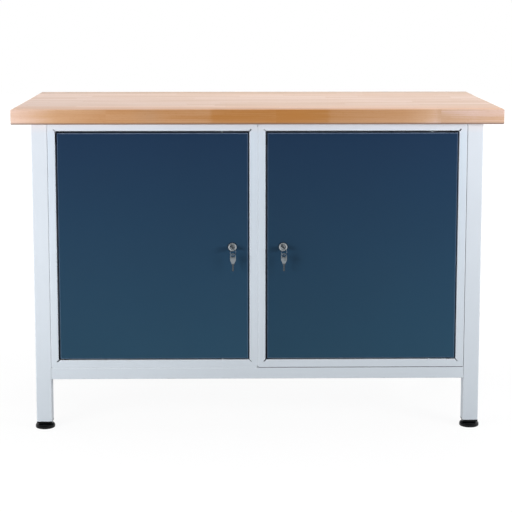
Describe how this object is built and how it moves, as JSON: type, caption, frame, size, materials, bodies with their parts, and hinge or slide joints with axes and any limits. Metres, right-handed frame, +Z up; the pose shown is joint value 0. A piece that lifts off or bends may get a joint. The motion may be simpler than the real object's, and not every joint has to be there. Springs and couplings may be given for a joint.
{
  "type": "workbench with cabinet doors",
  "caption": "Steel-framed workbench with a laminated beech top over side-by-side sheet-steel cabinets with lockable hinged doors, keys on rings, inner shelves and screw-adjusted feet.",
  "frame": {"origin": "on the floor under the middle of the bench", "axes": "+X to the right seen from the doors, +Y from the doors to the back, +Z up"},
  "size_m": [1.25, 0.65, 0.84],
  "materials": {
    "beech": "oiled, glued staves",
    "grey_paint": "light grey powder coat, satin",
    "blue_paint": "steel blue powder coat, satin",
    "black_plastic": "moulded",
    "zinc_steel": "zinc plated",
    "nickel": "nickel plated"
  },
  "bodies": {
    "bench": {"worktop": "beech", "leg_front_left": "grey_paint", "leg_plug_front_left": "black_plastic", "leg_front_right": "grey_paint", "leg_plug_front_right": "black_plastic", "leg_rear_left": "grey_paint", "leg_plug_rear_left": "black_plastic", "leg_rear_right": "grey_paint", "leg_plug_rear_right": "black_plastic", "side_rail_lower_left": "grey_paint", "side_rail_upper_left": "grey_paint", "side_rail_lower_right": "grey_paint", "side_rail_upper_right": "grey_paint", "front_rail": "grey_paint", "rear_rail": "grey_paint", "cabinet_outer_side_left": "grey_paint", "cabinet_inner_side_left": "grey_paint", "cabinet_top_left": "grey_paint", "cabinet_bottom_left": "grey_paint", "cabinet_back_left": "grey_paint", "shelf_left": "grey_paint", "cabinet_outer_side_right": "grey_paint", "cabinet_inner_side_right": "grey_paint", "cabinet_top_right": "grey_paint", "cabinet_bottom_right": "grey_paint", "cabinet_back_right": "grey_paint", "shelf_right": "grey_paint"},
    "left_door": {"door_pan_left": "blue_paint", "door_stiffener_left": "blue_paint", "hinge_pin_upper_left": "zinc_steel", "hinge_pin_lower_left": "zinc_steel", "lock_housing_left": "nickel", "lock_nut_left": "zinc_steel"},
    "left_lock": {"lock_plug_left": "nickel", "lock_cam_left": "zinc_steel", "lock_cam_screw_left": "zinc_steel"},
    "left_key": {"key_left": "nickel"},
    "left_key_ring": {"key_ring_left": "zinc_steel"},
    "left_spare_key": {"spare_key_left": "nickel"},
    "right_door": {"door_pan_right": "blue_paint", "door_stiffener_right": "blue_paint", "hinge_pin_upper_right": "zinc_steel", "hinge_pin_lower_right": "zinc_steel", "lock_housing_right": "nickel", "lock_nut_right": "zinc_steel"},
    "right_lock": {"lock_plug_right": "nickel", "lock_cam_right": "zinc_steel", "lock_cam_screw_right": "zinc_steel"},
    "right_key": {"key_right": "nickel"},
    "right_key_ring": {"key_ring_right": "zinc_steel"},
    "right_spare_key": {"spare_key_right": "nickel"},
    "foot_front_left": {"foot_pad_front_left": "black_plastic"},
    "stud_front_left": {"foot_stud_front_left": "zinc_steel"},
    "foot_front_right": {"foot_pad_front_right": "black_plastic"},
    "stud_front_right": {"foot_stud_front_right": "zinc_steel"},
    "foot_rear_left": {"foot_pad_rear_left": "black_plastic"},
    "stud_rear_left": {"foot_stud_rear_left": "zinc_steel"},
    "foot_rear_right": {"foot_pad_rear_right": "black_plastic"},
    "stud_rear_right": {"foot_stud_rear_right": "zinc_steel"}
  },
  "joints": [
    {"name": "left_door_hinge", "type": "hinge", "parent": "bench", "child": "left_door", "pos_m": [-0.4994, -0.283, 0.482], "axis": [0, 0, -1], "range_deg": [0, 110]},
    {"name": "left_lock_turn", "type": "hinge", "parent": "left_door", "child": "left_lock", "pos_m": [-0.0655, -0.29, 0.482], "axis": [0, 1, 0], "range_deg": [0, 90]},
    {"name": "left_key_pull", "type": "slide", "parent": "left_lock", "child": "left_key", "axis": [0, -1, 0], "range_m": [0, 0.019]},
    {"name": "left_ring_hang", "type": "hinge", "parent": "left_key", "child": "left_key_ring", "pos_m": [-0.06394, -0.3162, 0.48044], "axis": [0, 1, 0], "range_deg": [-90, 0]},
    {"name": "left_spare_key_swing", "type": "hinge", "parent": "left_key_ring", "child": "left_spare_key", "pos_m": [-0.06394, -0.3162, 0.46404], "axis": [0.309, 0.9511, 0], "range_deg": [-40, 40]},
    {"name": "right_door_hinge", "type": "hinge", "parent": "bench", "child": "right_door", "pos_m": [0.4994, -0.283, 0.482], "axis": [0, 0, 1], "range_deg": [0, 110]},
    {"name": "right_lock_turn", "type": "hinge", "parent": "right_door", "child": "right_lock", "pos_m": [0.0655, -0.29, 0.482], "axis": [0, 1, 0], "range_deg": [0, 90]},
    {"name": "right_key_pull", "type": "slide", "parent": "right_lock", "child": "right_key", "axis": [0, -1, 0], "range_m": [0, 0.019]},
    {"name": "right_ring_hang", "type": "hinge", "parent": "right_key", "child": "right_key_ring", "pos_m": [0.06706, -0.3162, 0.48044], "axis": [0, 1, 0], "range_deg": [-90, 0]},
    {"name": "right_spare_key_swing", "type": "hinge", "parent": "right_key_ring", "child": "right_spare_key", "pos_m": [0.06706, -0.3162, 0.46404], "axis": [0.309, 0.9511, 0], "range_deg": [-40, 40]},
    {"name": "foot_front_left_level", "type": "slide", "parent": "bench", "child": "foot_front_left", "axis": [0, 0, -1], "range_m": [0, 0.015]},
    {"name": "stud_front_left_screw", "type": "hinge", "parent": "foot_front_left", "child": "stud_front_left", "pos_m": [-0.558, -0.27, 0.03], "axis": [0, 0, -1], "range_deg": [0, 3600]},
    {"name": "foot_front_right_level", "type": "slide", "parent": "bench", "child": "foot_front_right", "axis": [0, 0, -1], "range_m": [0, 0.015]},
    {"name": "stud_front_right_screw", "type": "hinge", "parent": "foot_front_right", "child": "stud_front_right", "pos_m": [0.558, -0.27, 0.03], "axis": [0, 0, -1], "range_deg": [0, 3600]},
    {"name": "foot_rear_left_level", "type": "slide", "parent": "bench", "child": "foot_rear_left", "axis": [0, 0, -1], "range_m": [0, 0.015]},
    {"name": "stud_rear_left_screw", "type": "hinge", "parent": "foot_rear_left", "child": "stud_rear_left", "pos_m": [-0.558, 0.27, 0.03], "axis": [0, 0, -1], "range_deg": [0, 3600]},
    {"name": "foot_rear_right_level", "type": "slide", "parent": "bench", "child": "foot_rear_right", "axis": [0, 0, -1], "range_m": [0, 0.015]},
    {"name": "stud_rear_right_screw", "type": "hinge", "parent": "foot_rear_right", "child": "stud_rear_right", "pos_m": [0.558, 0.27, 0.03], "axis": [0, 0, -1], "range_deg": [0, 3600]}
  ],
  "couplings": [
    {"joint": "left_ring_hang", "follows": "left_lock_turn", "ratio": -1},
    {"joint": "right_ring_hang", "follows": "right_lock_turn", "ratio": -1},
    {"joint": "stud_front_left_screw", "follows": "foot_front_left_level", "rad_per_m": 4188.8},
    {"joint": "stud_front_right_screw", "follows": "foot_front_right_level", "rad_per_m": 4188.8},
    {"joint": "stud_rear_left_screw", "follows": "foot_rear_left_level", "rad_per_m": 4188.8},
    {"joint": "stud_rear_right_screw", "follows": "foot_rear_right_level", "rad_per_m": 4188.8}
  ]
}
